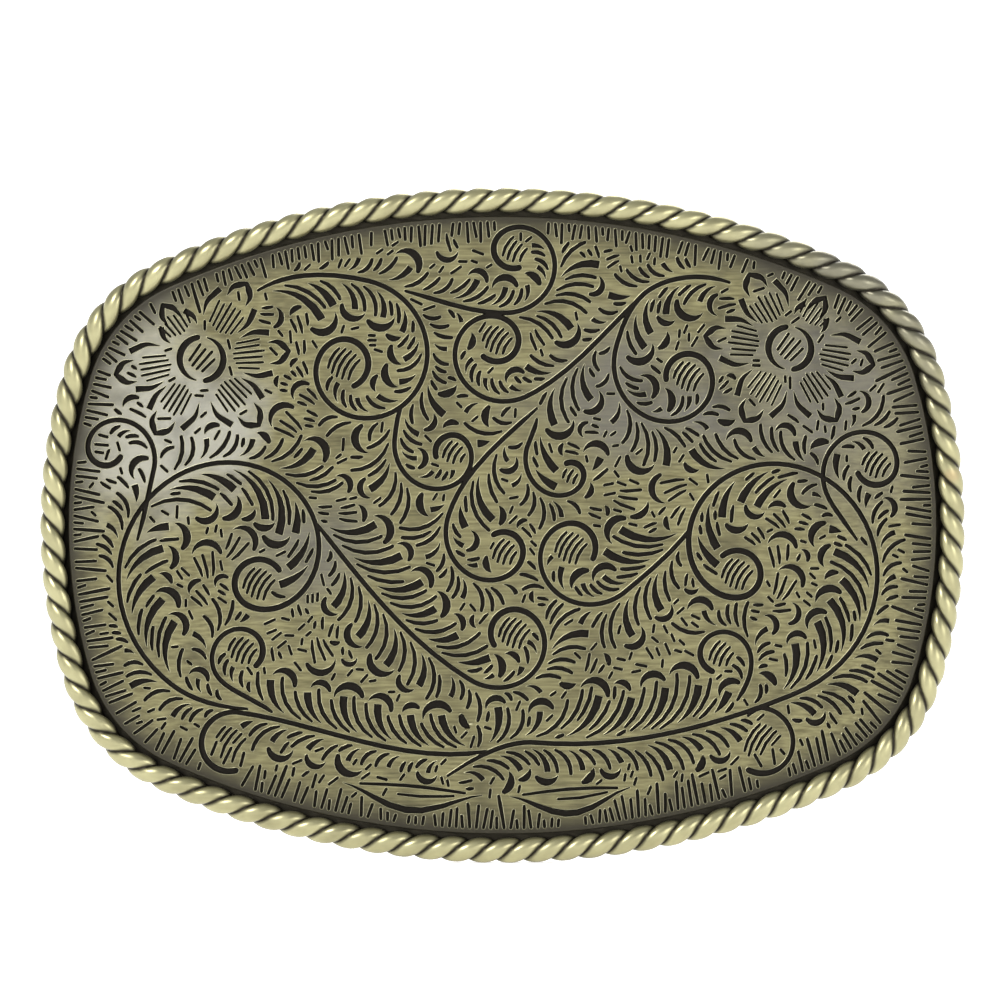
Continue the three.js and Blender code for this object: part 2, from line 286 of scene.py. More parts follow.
class Plate:
    """The face seen flat, as cells that say which are cut, so that cuts keep clear of each other."""

    def __init__(self):
        self.origin = -np.array([HALF_WIDTH, HALF_HEIGHT])
        self.size = (int(2 * HALF_WIDTH / CELL) + 1, int(2 * HALF_HEIGHT / CELL) + 1)
        x, z = [low + np.arange(count) * CELL for low, count in zip(self.origin, self.size)]
        self.inset = inset_of(x[:, None], z[None, :])
        self.cut_cells = np.zeros(self.size, bool)
        self.cuts = []
        self.keep_in(MAIN_GAP)

    def keep_in(self, gap):
        """Takes the cells nearer the face's edge than the gap, so that later cuts stay inside it."""
        self.taken = self.cut_cells | (self.inset < FACE_INSET + gap)

    def cell(self, points):
        """The cells that the points lie in."""
        return np.rint((points - self.origin) / CELL).astype(int)

    def index(self, cells):
        """The cells, kept on the plate, as an index into its arrays."""
        return tuple(np.clip(cells, 0, np.array(self.size) - 1).T)

    def disc(self, radius):
        """The cells within the radius, counted from the middle one."""
        reach = int(radius / CELL) + 1
        span = np.arange(-reach, reach + 1)
        x, z = np.meshgrid(span, span, indexing="ij")
        near = x**2 + z**2 <= (radius / CELL) ** 2
        return np.stack([x[near], z[near]], 1)

    def free(self, point, radius):
        """True if nothing is cut within the radius of the point."""
        return not self.taken[self.index(self.cell(point) + self.disc(radius))].any()

    def room(self, start, way, most):
        """How far one can go from a point in a direction before a cut."""
        steps = np.arange(0, most, CELL)
        hit = np.flatnonzero(self.taken[self.index(self.cell(start + steps[:, None] * way))])
        return steps[hit[0]] if len(hit) else most

    def clear_run(self, line, half_width):
        """The longest stretch of the line that lies clear of every cut, as its first and last index."""
        ring = self.disc(half_width + GAP)
        best, start = (0, 0), 0
        for i, cell in enumerate(self.cell(line)):
            if self.taken[self.index(cell + ring)].any():
                start = i + 1
            elif i + 1 - start > best[1] - best[0]:
                best = (start, i + 1)
        return best

    def engrave(self, cut):
        """Adds a cut and marks its cells as taken."""
        self.cuts.append(cut)
        for i in range(len(cut.line) - 1):
            a, along = cut.line[i], cut.line[i + 1] - cut.line[i]
            count = max(1, int(np.hypot(*along) / CELL))
            for t in np.linspace(0, 1, count + 1):
                half = cut.half[i] + t * (cut.half[i + 1] - cut.half[i])
                where = self.index(self.cell(a + t * along) + self.disc(half))
                self.taken[where] = True
                self.cut_cells[where] = True

    def stroke(self, line, half_width, shape, blunt=False, least=0.7):
        """A cut along the clear part of the line, or none if too little is. Returns whether it cut."""
        first, last = self.clear_run(line, 0.8 * half_width)
        if last - first < 4 or lengths(line[first:last])[-1] < least:
            return False
        self.engrave(Cut(line[first:last], half_width, shape, blunt))
        return True


# ---------------- crescents, eyes, flowers and the border

CRESCENT_SWEEP = 150
EYE_HEADING, EYE_STROKES, EYE_PITCH, EYE_BOW = 60, 5, 0.6, 0.7

# The two large flowers: centre, radius and the directions of the petals.
FLOWERS = (
    ((-30.8, 17.0), 9.0, (5, 59, 126, 190, 238, 311)),
    ((29.4, 18.1), 8.8, (-11, 55, 119, 172, 238, 303)),
)
# A flower's ringed eye: where its two arcs start, their sweep, radius and shape, and the hatch inside them.
RING_TURN, RING_SWEEP, RING_SHARE, RING_SHAPE = 100, 160, 0.25, (0.8, 0.35, 0.2)
RING_HATCH = (50, 4, 0.58, -1.2, 1.1, 0.35, 0.21)
# Its petals: how far they stay inside the face, their hatch's pitch, and the shape of the tip's two legs.
PETAL_GAP, PETAL_PITCH, LEG_SHAPE = 1.3, 0.5, (0.12, 0.85, 0.6)
# A petal less than this many degrees from its neighbour has a narrower hatch.
NARROW_PETAL = 52
FLOWER_HALF_WIDTH = 0.38

BORDER_LENGTHS, BORDER_PITCHES = (1.6, 3.3), (0.64, 0.76)
BORDER_OFFSET, BORDER_LEAN, BORDER_HALF_WIDTH = 0.64, 0.22, 0.23
# Above this height, near the top, the border strokes have this share of their length.
SHORT_ABOVE, SHORT_SHARE = 27, 0.6


def crescent(plate, centre, radius, heading, half_width, least):
    """A thick arc round a centre, its middle towards the heading in degrees, one end rounder."""
    turns = np.radians(np.linspace(heading + CRESCENT_SWEEP / 2, heading - CRESCENT_SWEEP / 2, 24))
    line = centre + radius * np.stack([np.cos(turns), np.sin(turns)], 1)
    return plate.stroke(smooth_line(line), half_width, COMMA, least=least)


def eye(plate, centre, radius):
    """The hatch in a scroll's eye: short bowed strokes side by side across it."""
    way = heading_way(EYE_HEADING)
    heading = math.radians(EYE_HEADING) + EYE_BOW / 2
    for k in range(EYE_STROKES):
        off = (k - (EYE_STROKES - 1) / 2) * EYE_PITCH
        half = math.sqrt(max(radius**2 - off**2, 0.1)) * 0.8
        start = centre + off * left_of(way) - half * way
        plate.stroke(arc_line(start, heading, 2 * half, -EYE_BOW), 0.2, LINE, least=0.5)


def cut_line(plate, points, half_width, shape, blunt=False):
    """A cut along a smooth line through the points, whatever it crosses."""
    plate.engrave(Cut(smooth_line(points), half_width, shape, blunt, FINE_CUT_TURN))


def flower(plate, centre, radius, petals):
    """A flower: petals of hatch strokes under two curved edges that meet in a point, round a ringed eye."""
    centre = np.array(centre)

    def polar(share, angle):
        return centre + radius * share * heading_way(angle)

    def hatch(angle, count, pitch, near, far, bow, half_width):
        """Parallel strokes out along an angle; bow makes the outer ones shorter at both ends."""
        way = heading_way(angle)
        square = left_of(way)
        for k in range(count):
            off = pitch * (k - (count - 1) / 2)
            start = centre + off * square + (near + bow * abs(off)) * way
            end = centre + 1.2 * off * square + (far - bow * abs(off) + 0.25 * (k % 2)) * way
            cut_line(plate, [start, end], half_width, LINE)

    def gap_at(tip, angle):
        """How far a petal's tip and shoulders are inside the face's edge, at the least."""
        corners = ((0, 0), (0.2, -28), (0.2, 28))
        return min(inset_of(*polar(tip - back, angle + turn)) for back, turn in corners) - FACE_INSET

    for start in (RING_TURN, RING_TURN + 180):
        ring = [polar(RING_SHARE, start + turn) for turn in range(0, RING_SWEEP, 12)]
        cut_line(plate, ring, FLOWER_HALF_WIDTH, RING_SHAPE)
    hatch(*RING_HATCH)
    for index, angle in enumerate(petals):
        before = (angle - petals[index - 1]) % 360
        after = (petals[(index + 1) % len(petals)] - angle) % 360
        tip = 1.0
        while gap_at(tip, angle) < PETAL_GAP:
            tip -= 0.02
        count = 5 if min(before, after) < NARROW_PETAL else 6
        hatch(angle, count, PETAL_PITCH, 0.36 * radius, max(tip - 0.3, 0.6) * radius, 0.4, 0.17)
        for side, gap in ((-1, before), (1, after)):
            leg = [polar(tip - 0.22, angle + 9 * side), polar(tip - 0.1, angle + 7 * side), polar(tip, angle)]
            cut_line(plate, leg, FLOWER_HALF_WIDTH, LEG_SHAPE)
            root, end = side * min(29, 0.43 * gap), side * min(16, 0.3 * gap)
            low, high = max(tip - 0.5, 0.4), tip - 0.17
            middle = polar(0.5 * (low + high), angle + 0.56 * (root + end))
            edge = [polar(low, angle + root), middle, polar(high, angle + end)]
            cut_line(plate, edge, 0.36, WEDGE, True)


def border(plate, ring, rng):
    """Short strokes inwards from the rope all the way round, a little uneven, where there is room."""
    where, end = 0.0, lengths(ring)[-1] - 0.5
    while where < end:
        point, along = at(ring, where)
        way = left_of(along)
        leaning = way + rng.uniform(-BORDER_LEAN, BORDER_LEAN) * left_of(way)
        most = rng.uniform(*BORDER_LENGTHS) * (SHORT_SHARE if point[1] > SHORT_ABOVE else 1)
        path = arc_line(point + BORDER_OFFSET * way, angle_of(leaning), most, 0)
        plate.stroke(path, BORDER_HALF_WIDTH, LINE, least=0.55)
        where += rng.uniform(*BORDER_PITCHES)


# ---------------- the scrolls

# A scroll is a stem that runs into a coil. The stem has its start and heading; the coil has the centre of
# its eye, the angle and distance from there where the stem meets it, the eye's radius, and its turn,
# anticlockwise above 0. A stem that bends both ways also has a point on the way, with the heading there.
Scroll = namedtuple("Scroll", "start heading centre entry outer eye turn via", defaults=(None,))

SCROLLS = {
    "great_left": Scroll((-26.1, -18.8), 178, (-24.9, -6.0), 228, 13.7, 2.5, -560),
    "great_right": Scroll((-5.6, -25.6), 34, (24.0, -5.0), -65, 13.6, 2.4, 560, (3.5, -22.2, -5)),
    "foot_left": Scroll((-1.7, -23.1), 190, (-28.0, -22.4), 72, 3.4, 2.8, 205),
    "foot_right": Scroll((25.1, -19.5), 50, (26.6, -22.3), 88, 3.6, 3.1, -200),
    "low_centre": Scroll((-19.2, 0.4), -52, (1.2, -11.0), -134, 6.6, 2.4, 335),
    "mid_right": Scroll((19.3, -0.2), -125, (7.0, -2.3), -37, 7.2, 2.5, -340),
    "mid_centre": Scroll((3.5, 11.9), 222, (0.1, -2.7), 147, 6.7, 2.0, 320),
    "centre_hook": Scroll((3.5, 10.8), 262, (7.0, 5.1), 155, 5.1, 1.3, 300),
    "mid_left": Scroll((-10.2, 12.3), 240, (-5.1, 7.45), 165, 6.1, 1.75, 385),
    "upper_left": Scroll((-25.0, 24.0), 32, (-16.2, 16.5), 75, 8.8, 2.5, -505),
    "top_centre": Scroll((-9.9, 23.9), -15, (1.1, 28.2), -98, 6.6, 2.0, 380),
    "upper_middle": Scroll((14.7, 23.8), 222, (-0.55, 18.9), -60, 6.5, 2.2, -430),
    "upper_right": Scroll((23.2, 24.8), 160, (19.0, 15.2), 157, 8.0, 2.3, 385, (15.1, 24.1, 212)),
    "side_left": Scroll((-37.4, -1.5), 72, (-40.7, 7.9), -26, 5.5, 1.8, 345),
    "side_right": Scroll((36.3, -1.5), 122, (38.3, 6.2), 191, 5.6, 2.1, -335),
    "low_left": Scroll((-23.6, -19.1), 142, (-26.6, -12.8), 205, 3.4, 2.1, -240),
    "low_right": Scroll((24.0, -17.9), 55, (22.2, -13.1), -5, 3.2, 2.0, 240),
}
# A stem's half width, and the turn after which its line keeps a point.
STEM_HALF_WIDTH, STEM_TURN = 0.27, 0.085
# The share of a coil's turn that keeps to the eye's own radius.
EYE_SHARE = 0.36


def joining_curve(start, start_way, end, end_way):
    """A cubic curve between two points that leaves and arrives in the given directions."""
    pull = float(np.hypot(*(end - start)))
    t = np.linspace(0, 1, max(4, int(pull / POINT_STEP)))[:, None]
    return (
        (2 * t**3 - 3 * t**2 + 1) * start
        + (t**3 - 2 * t**2 + t) * pull * start_way
        + (3 * t**2 - 2 * t**3) * end
        + (t**3 - t**2) * pull * end_way
    )


def unrolled(eye, widest, turn):
    """A clockwise coil from its outer end to an eye round (0, 0), with a bend that eases evenly."""
    angle = np.radians(np.arange(0, abs(turn), 2.0))
    plain = math.radians(EYE_SHARE * abs(turn))
    bend = eye + (widest - eye) * np.clip((angle - plain) / (angle[-1] - plain), 0, 1) ** 0.8
    middle = (angle[1:] + angle[:-1]) / 2
    step = ((bend[1:] + bend[:-1]) / 2 * np.diff(angle))[:, None]
    steps = step * np.stack([-np.sin(middle), np.cos(middle)], 1)
    return np.vstack([[[eye, 0]], np.array([eye, 0]) + np.cumsum(steps, axis=0)])[::-1]


def coil_line(scroll):
    """The scroll's coil, which starts at its entry angle and outer distance from its centre."""
    low, high = scroll.eye, 3 * scroll.outer
    for _ in range(24):
        widest = (low + high) / 2
        line = unrolled(scroll.eye, widest, scroll.turn)
        low, high = (low, widest) if np.hypot(*line[0]) > scroll.outer else (widest, high)
    if scroll.turn > 0:
        line = line * np.array([1, -1])
    c, s = direction(math.radians(scroll.entry) - angle_of(line[0]))
    return np.array(scroll.centre) + line @ np.array([[c, s], [-s, c]])


def scroll_line(scroll):
    """The scroll's whole line, and how far along it the coil starts."""
    coil = coil_line(scroll)
    point, way, stem = np.array(scroll.start), heading_way(scroll.heading), []
    if scroll.via:
        x, z, heading = scroll.via
        stem = joining_curve(point, way, np.array([x, z]), heading_way(heading))[:-1]
        point, way = np.array([x, z]), heading_way(heading)
    stem = np.array([*stem, *joining_curve(point, way, coil[0], unit(coil[1] - coil[0]))])
    return np.vstack([stem[:-1], coil]), lengths(stem)[-1]


def engrave_scroll(plate, scroll):
    """Cuts the scroll's line, thicker in its eye. Returns the line and how far along it the coil starts."""
    line, coil_from = scroll_line(scroll)
    cut = Cut(line, STEM_HALF_WIDTH, LINE, turn=STEM_TURN)
    run = lengths(cut.line) / lengths(cut.line)[-1]
    cut.half = STEM_HALF_WIDTH * np.interp(run, [0, 0.05, 0.7, 0.93, 1], [0.6, 1, 1, 1.3, 1.2])
    plate.engrave(cut)
    return line, coil_from


# ---------------- leaves

# A row of strokes along a stem: one bold and blunt, then several fine ones, over and over.
BOLD_PITCH, FINE_PITCH, FINE_COUNT = 1.2, 0.66, 4
# The strokes' lengths, as shares of the leaf's reach, and the fine ones' half width.
BOLD_SHARE, FINE_SHARES, FINE_HALF_WIDTH = 1.2, (1.26, 1.18, 1.3, 1.14), 0.25
# How a stroke leaves its stem: the gap, the angle to it, and the turn along the stroke, in degrees.
LEAF_OFFSET, LEAF_HEADING, LEAF_TURN = 0.64, 18, 72
# The crescents at the leaves' ends: how far apart, how large, how far out and how much askew.
CAP_PITCHES, CAP_RADII = (3.1, 3.9, 3.4), (1.5, 1.05, 1.3)
CAP_SHARE, CAP_LEAN = 1.05, 14
# The longest leaves inside a coil and outside it, and the share of the room that they take.
INNER_LEAF, OUTER_LEAF = (5.6, 0.5), (3.9, 0.6)

# The long leaves under the crossing stems, from their roots to their tips, and the lines that each has:
# how deep below it, half width, shape, and the shares of its length where the line starts and ends.
BLADES = (((-16.3, -26.3), (-2.1, -27.6)), ((0.7, -27.7), (13.0, -26.8)))
BLADE_LINES = ((2.2, 0.36, CRESCENT, 0, 1), (-0.3, 0.2, LINE, 0.03, 0.97), (0.7, 0.18, LINE, 0.4, 0.85))


def leaf_path(line, where, side, length):
    """The curve of a leaf's stroke: it leaves almost along the stem and turns away from it."""
    point, way = at(line, where)
    start = point + side * LEAF_OFFSET * left_of(way)
    angle = angle_of(way) + side * math.radians(LEAF_HEADING)
    return arc_line(start, angle, length, side * math.radians(LEAF_TURN))


def reach_of(plate, line, where, side, longest, share):
    """How long a leaf's stroke may be at a place along a stem, as a share of the room there."""
    point, way = at(line, where)
    square = side * left_of(way)
    room = plate.room(point + 0.7 * square, square, longest / share + 1)
    return float(np.clip(share * room, 1.5, longest)) if room > 1.3 else 0


def stroke_row(plate, line, side, first, last, reaches):
    """One side's leaves: crescents away from the stem first, then the strokes that run out to them."""
    where, k = first + 0.9, 0
    while where < last:
        length, radius = CAP_SHARE * reaches(where), CAP_RADII[k % 3]
        if length > 1.5:
            tip, way = at(leaf_path(line, where, side, length), length)
            heading = math.degrees(angle_of(way)) + CAP_LEAN * side * (k % 3 - 1)
            for ahead in (0.0, 0.35, 0.7):
                if crescent(plate, tip + ahead * way, radius, heading, 0.2 * radius + 0.14, 1.6):
                    break
        where += CAP_PITCHES[k % 3]
        k += 1
    bold = np.arange(first, last, BOLD_PITCH + FINE_COUNT * FINE_PITCH)
    fine = [start + BOLD_PITCH + k * FINE_PITCH for start in bold for k in range(FINE_COUNT)]
    for where in bold:
        length = BOLD_SHARE * reaches(where)
        if length > 1.4:
            half_width = min(0.45, 0.16 + 0.058 * length)
            plate.stroke(leaf_path(line, where, side, length), half_width, WEDGE, True, 1.0)
    for k, where in enumerate(fine):
        length = reaches(where) * FINE_SHARES[k % FINE_COUNT]
        if where < last and length > 0.9:
            plate.stroke(leaf_path(line, where, side, length), FINE_HALF_WIDTH, HAIR)


def dress(plate, line, coil_from, turn):
    """Rows of leaves on both sides of a scroll: long inside its coil, shorter outside it."""
    inner = 1 if turn > 0 else -1
    whole = lengths(line)[-1]
    outer_last = coil_from + 0.6 * (whole - coil_from)
    rows = ((inner, 1.0, 0.86 * whole, *INNER_LEAF), (-inner, 1.6, outer_last, *OUTER_LEAF))
    for side, first, last, longest, share in rows:
        spots = np.arange(first - 1, last + 1, 0.8)
        found = [reach_of(plate, line, max(where, 0), side, longest, share) for where in spots]
        stroke_row(plate, line, side, first, last, lambda where: np.interp(where, spots, found))


def blade(plate, start, end):
    """A long pointed leaf from left to right: a deep bold edge below, a fine one above and a short midrib."""
    start, along = np.array(start), np.array(end) - np.array(start)
    down = -left_of(unit(along))
    for depth, half_width, shape, first, last in BLADE_LINES:
        share = np.linspace(first, last, 12)[:, None]
        line = start + share * along + depth * np.sin(math.pi * share) ** 1.5 * down
        plate.stroke(smooth_line(line), half_width, shape, least=2)


# ---------------- filling the ground

FILL_X, FILL_Z = HALF_WIDTH - 3.5, HALF_HEIGHT - 3.5
DASH_LENGTHS, DASH_PITCH, DASH_HALF_WIDTH = (0.6, 1.2), 0.5, 0.215
# The small lobes' grid steps and sizes, largest first, and the dashes' grid steps: in patches and elsewhere.
LOBES = ((2.0, 1.9), (1.6, 1.4), (1.2, 1.0))
PATCH_STEP, DASH_STEP = 1.05, 0.85
# Ground that has only dashes, as x, z and radius.
STIPPLED = (
    (-12.5, -17.2, 3.2), (-6.0, -19.0, 2.8), (1.0, -19.4, 2.8), (7.5, -18.8, 3.0), (14.0, -15.5, 3.2),
    (-15.0, 5.6, 3.0), (10.8, 7.2, 2.8), (-2.8, 12.0, 2.4), (21.5, -9.6, 2.2), (-21.0, -11.5, 2.2),
    (-27.0, 9.2, 2.6), (30.0, 8.4, 2.4), (8.0, -26.2, 1.6), (-12.0, -26.6, 1.6),
)
SEED = 7


def ground(step):
    """Places step apart over the face."""
    return [(x, z) for x in np.arange(-FILL_X, FILL_X, step) for z in np.arange(-FILL_Z, FILL_Z, step)]


def nearest_flow(lines, point):
    """The direction of the nearest stem's line, and the direction away from it."""
    gaps = [np.hypot(*(line - point).T) for line in lines]
    nearest = min(range(len(lines)), key=lambda k: gaps[k].min())
    line, i = lines[nearest], int(gaps[nearest].argmin())
    j = min(i + 1, len(line) - 1)
    away = point - line[i]
    return unit(line[j] - line[j - 1]), away / max(np.hypot(*away), 1e-6)


def tuft(plate, point, heading, size):
    """A small leaf lobe: a crescent over three fine strokes that fan out towards it."""
    way = heading_way(heading)
    crescent(plate, point, 0.8 * size, heading, 0.19 + 0.1 * size, 1.0)
    for k in (-1, 0, 1):
        start = point + 0.56 * k * left_of(way) - (1.1 - 0.1 * abs(k)) * size * way
        path = arc_line(start, math.radians(heading + 12 * k), 1.25 * size, 0.35)
        plate.stroke(path, 0.22, HAIR, least=0.5)


def fill_lobes(plate, lines, step, size, rng):
    """Small leaf lobes that follow the nearest stem, wherever the ground is still clear enough for one."""
    places = ground(step)
    rng.shuffle(places)
    for place in places:
        point = np.array(place) + rng.uniform(-0.45, 0.45) * step
        if plate.free(point, 0.8 * size):
            way, away = nearest_flow(lines, point)
            lean = way + rng.uniform(0.3, 1.1) * away
            tuft(plate, point, math.degrees(angle_of(lean)) + rng.uniform(-20, 20), size)


def fill_dashes(plate, lines, step, rng, spots=None):
    """Short dashes, up to three side by side, over the ground that is still clear: askew to the nearest
    stem or, where there are spots, inside those only and every way."""
    for x, z in ground(step):
        point = np.array([x, z]) + np.array([rng.uniform(-0.5, 0.5), rng.uniform(-0.5, 0.5)]) * step
        if spots and not any(math.hypot(x - sx, z - sz) < radius for sx, sz, radius in spots):
            continue
        if not plate.free(point, 0.4):
            continue
        way, _ = nearest_flow(lines, point)
        heading = angle_of(way) + rng.uniform(*((0, math.pi) if spots else (0.5, 1.3)))
        along = direction(heading)
        for k in range(rng.choice((1, 2, 3))):
            length = rng.uniform(*DASH_LENGTHS)
            start = point + DASH_PITCH * k * left_of(along) - length / 2 * along
            plate.stroke(arc_line(start, heading, length, 0.2), DASH_HALF_WIDTH, LINE, least=0.5)


def engraving():
    """Every cut on the face, in an order that keeps the main lines whole."""
    rng = random.Random(SEED)
    plate = Plate()
    for centre, radius, petals in FLOWERS:
        flower(plate, centre, radius, petals)
    grown = [(*engrave_scroll(plate, scroll), scroll.turn) for scroll in SCROLLS.values()]
    for start, end in BLADES:
        blade(plate, start, end)
    plate.keep_in(BORDER_GAP)
    border(plate, outline(FACE_INSET, 0.5), rng)
    plate.keep_in(MAIN_GAP)
    for scroll in SCROLLS.values():
        eye(plate, scroll.centre, 0.75 * scroll.eye)
    for line, coil_from, turn in grown:
        dress(plate, line, coil_from, turn)
    plate.keep_in(FILL_GAP)
    lines = [line[::8] for line, _, _ in grown]
    fill_dashes(plate, lines, PATCH_STEP, rng, STIPPLED)
    for step, size in LOBES:
        fill_lobes(plate, lines, step, size, rng)
    fill_dashes(plate, lines, DASH_STEP, rng)
    return plate.cuts


# ---------------- from the flat design to the bent plate

MM = 0.001
BEND_RADIUS = 220.0
# Depths are measured forwards from the back plate's rear surface.
BACK_THICK, FACE_LOW, FACE_HIGH = 1.3, 1.4, 2.9
BACK_INSET = 0.5
CUT_DEPTH = 0.42
CUT_WALL = 0.09
LIP, LIP_WIDTH = 0.03, 0.055
FACE_EDGE, BACK_EDGE = 0.15, 0.35
# How near a point must be to a cut's edge to lie on it.
ON_EDGE = 0.012


def bent(x, depth):
    """The Y of a point at x and a depth in front of the back plate's rear surface."""
    return BEND_RADIUS - np.sqrt((BEND_RADIUS + depth) ** 2 - x**2)


def on_plate(points):
    """Points (x, depth, z) of the flat design, bent with the plate."""
    return np.stack([points[:, 0], bent(points[:, 0], points[:, 1]), points[:, 2]], 1)


def on_seat(points, x):
    """Points (u, v, z) of a fitting, with v square off the rear surface at x."""
    turn = math.asin(x / BEND_RADIUS)
    c, s = math.cos(turn), math.sin(turn)
    u, v, z = points.T
    return np.stack([x + c * u - s * v, bent(x, 0) + s * u + c * v, z], 1)


def add_mesh(name, points, faces, smooth_angle=35):
    """A new object from points in mm, smooth but for edges sharper than the angle."""
    mesh = bpy.data.meshes.new(name)
    mesh.from_pydata((np.asarray(points) * MM).tolist(), [], faces)
    bm = bmesh.new()
    bm.from_mesh(mesh)
    bmesh.ops.recalc_face_normals(bm, faces=bm.faces)
    for face in bm.faces:
        face.smooth = True
    for edge in bm.edges:
        edge.smooth = edge.is_manifold and edge.calc_face_angle(0) < math.radians(smooth_angle)
    bm.to_mesh(mesh)
    bm.free()
    found = bpy.data.objects.new(name, mesh)
    bpy.context.scene.collection.objects.link(found)
    return found


def give_values(piece, name, values):
    """Stores one number for each vertex, for the materials to read."""
    layer = piece.data.attributes.new(name, "FLOAT", "POINT")
    layer.data.foreach_set("value", np.asarray(values, np.float32))


def triangulate(rings, grid=None, marks=()):
    """Triangles inside the first ring and outside the others, with the marks' edges kept. Returns the points,
    the triangles and each ring's points in turn."""
    points, edges, loops = [], [], []
    for index, ring in enumerate([*rings, *marks]):
        ids = range(len(points), len(points) + len(ring))
        points += [tuple(map(float, p)) for p in ring]
        if index < len(rings):
            loops.append(list(ids))
        edges += list(zip(ids, [*ids[1:], ids[0]]))
    if grid is not None:
        points += [tuple(map(float, p)) for p in grid]
    out, _, faces, origin, _, owners = delaunay_2d_cdt([Vector(p) for p in points], edges, loops, 1, 1e-4)
    holes = set(range(1, len(rings)))
    inside = [face for face, owner in zip(faces, owners) if 0 in owner and not holes & set(owner)]
    place = {i: new for new, old in enumerate(origin) for i in old}
    return np.array(out), inside, [[place[i] for i in loop] for loop in loops]


def at_depth(flat, depth):
    """Flat points (x, z) as points (x, depth, z)."""
    return np.insert(np.asarray(flat), 1, depth, axis=1)


def slab_mesh(rings, low, high, edge, grid=None, marks=()):
    """A slab between two depths with rounded edges. rings(shrink) gives its outline and holes, moved in.
    Returns the points, the faces and how many points are on the high side."""
    turns = np.radians((90, 60, 30, 0))
    profile = [(edge * (1 - math.cos(t)), high - edge * (1 - math.sin(t))) for t in turns]
    profile += [(shrink, low + (high - depth)) for shrink, depth in reversed(profile)]
    inner = rings(edge)
    top, top_faces, top_loops = triangulate(inner, grid, marks)
    base, base_faces, base_loops = triangulate(inner, grid)
    points = [at_depth(top, high), at_depth(base, low)]
    faces = [list(f) for f in top_faces] + [[i + len(top) for i in f][::-1] for f in base_faces]
    count = len(top) + len(base)
    for loop in range(len(inner)):
        before = top_loops[loop]
        for shrink, depth in profile[1:-1]:
            points.append(at_depth(rings(shrink)[loop], depth))
            ids = list(range(count, count + len(points[-1])))
            count += len(ids)
            faces += band(before, ids)
            before = ids
        faces += band(before, [i + len(top) for i in base_loops[loop]])
    return np.vstack(points), faces, len(top)


def band(one, other):
    """The quads between two rings of the same length."""
    size = len(one)
    return [[one[i], one[(i + 1) % size], other[(i + 1) % size], other[i]] for i in range(size)]


def circle(x, z, radius, count=40):
    """A circle's outline, anticlockwise."""
    turns = np.linspace(0, 2 * math.pi, count, endpoint=False)
    return np.stack([x + radius * np.cos(turns), z + radius * np.sin(turns)], 1)


def plate_grid(inset, step):
    """Points step apart inside the outline, so that the bend stays smooth."""
    x, z = [np.arange(1 - half, half - 0.5, step) for half in (HALF_WIDTH, HALF_HEIGHT)]
    x, z = np.meshgrid(x, z)
    keep = inset_of(x, z) > inset + 0.7 * step
    return np.stack([x[keep], z[keep]], 1)


# ---------------- the face

def depth_of_cuts(cuts, points):
    """How far inside a cut each flat point lies, -FAR where it is near none."""
    found = np.full(len(points), -FAR)
    order = np.argsort(points[:, 0])
    across = points[order, 0]
    for cut in cuts:
        reach = cut.half.max() + 0.15
        low, high = cut.line.min(0) - reach, cut.line.max(0) + reach
        near = order[np.searchsorted(across, low[0]) : np.searchsorted(across, high[0])]
        near = near[(points[near, 1] > low[1]) & (points[near, 1] < high[1])]
        if len(near):
            found[near] = np.maximum(found[near], cut.inside(points[near]))
    return found


def make_face():
    """The engraved plate: each cut is a real groove with walls and a floor."""
    cuts = engraving()
    marks = [cut.outline(grow) for cut in cuts for grow in (LIP_WIDTH, 0, -CUT_WALL)]

    def rings(shrink):
        return [outline(FACE_INSET + shrink, 0.6)]

    grid = plate_grid(FACE_INSET + 0.3, 1.6)
    points, faces, tops = slab_mesh(rings, FACE_LOW, FACE_HIGH, FACE_EDGE, grid, marks)
    inside = depth_of_cuts(cuts, points[:tops, [0, 2]])
    deep = np.clip((inside - ON_EDGE) / (CUT_WALL - 2 * ON_EDGE), 0, 1)
    rim = np.abs(inside) < ON_EDGE
    points[:tops, 1] += LIP * rim - CUT_DEPTH * deep
    piece = add_mesh("engraved_face", on_plate(points), faces, 9)
    # The rim values place a painted highlight along each cut's edge.
    for name, found in (("cut", deep), ("rim", rim)):
        give_values(piece, name, np.concatenate([found, np.zeros(len(points) - tops)]))
    # The inset also places the painted shade next to the rope.
    give_values(piece, "inset", inset_of(points[:, 0], points[:, 2]) - FACE_INSET)
    return piece


# ---------------- the rope

ROPE_RADIUS = 1.3
ROPE_LOBES = 95
RINGS_PER_LOBE = 10
SECTION_SIDES = 36
# How deep the groove between the strands is, as a share of the radius.
GROOVE = 0.36


